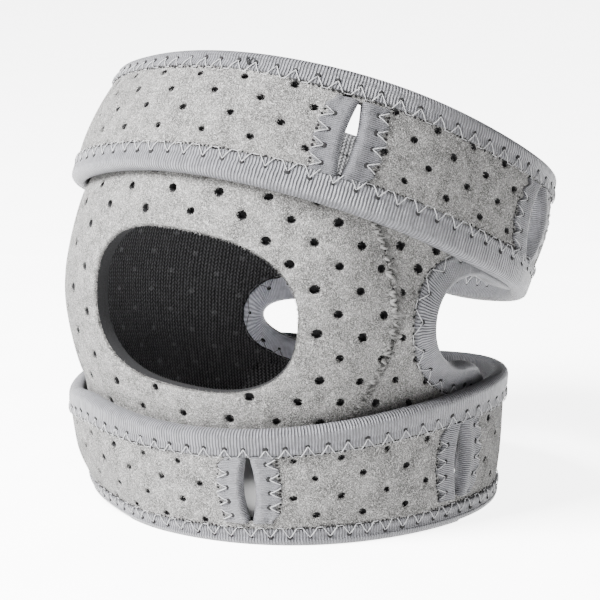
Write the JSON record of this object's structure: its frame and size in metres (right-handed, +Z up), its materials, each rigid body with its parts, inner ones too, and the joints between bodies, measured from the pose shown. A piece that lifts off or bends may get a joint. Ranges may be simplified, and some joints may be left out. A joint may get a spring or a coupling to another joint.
{
  "type": "double-strap patella knee support",
  "caption": "Perforated neoprene knee support with upper and lower closed straps, a raw-cut kneecap hole in front and bound notches at the sides, standing in its worn shape.",
  "frame": {"origin": "middle of the footprint, on the surface that the lower hem stands on", "axes": "+Z up along the leg, the kneecap hole faces -Y, the side notch is towards +X and the lapped strap ends are at the back, towards +Y and -X"},
  "size_m": [0.1466, 0.151, 0.1415],
  "materials": {
    "panel": "heathered light grey velour over perforated foam, black knit lining",
    "strap": "heathered light grey velour over perforated foam, black knit lining",
    "binding": "ribbed blue-grey elastic tape with zigzag stitching",
    "hook": "plain woven hook tape"
  },
  "bodies": {
    "root": {"front_panel": "panel", "side_panel": "panel", "side_notch_binding": "binding", "far_notch_binding": "binding", "upper_strap": "strap", "lower_strap": "strap", "upper_hook_tab": "hook", "lower_hook_tab": "hook", "upper_strap_binding": "binding", "lower_strap_binding": "binding", "upper_front_slot_right_tape": "binding", "upper_front_slot_left_tape": "binding", "upper_rear_slot_right_tape": "binding", "upper_rear_slot_left_tape": "binding", "lower_front_slot_right_tape": "binding", "lower_front_slot_left_tape": "binding", "lower_rear_slot_right_tape": "binding", "lower_rear_slot_left_tape": "binding"}
  },
  "joints": []
}
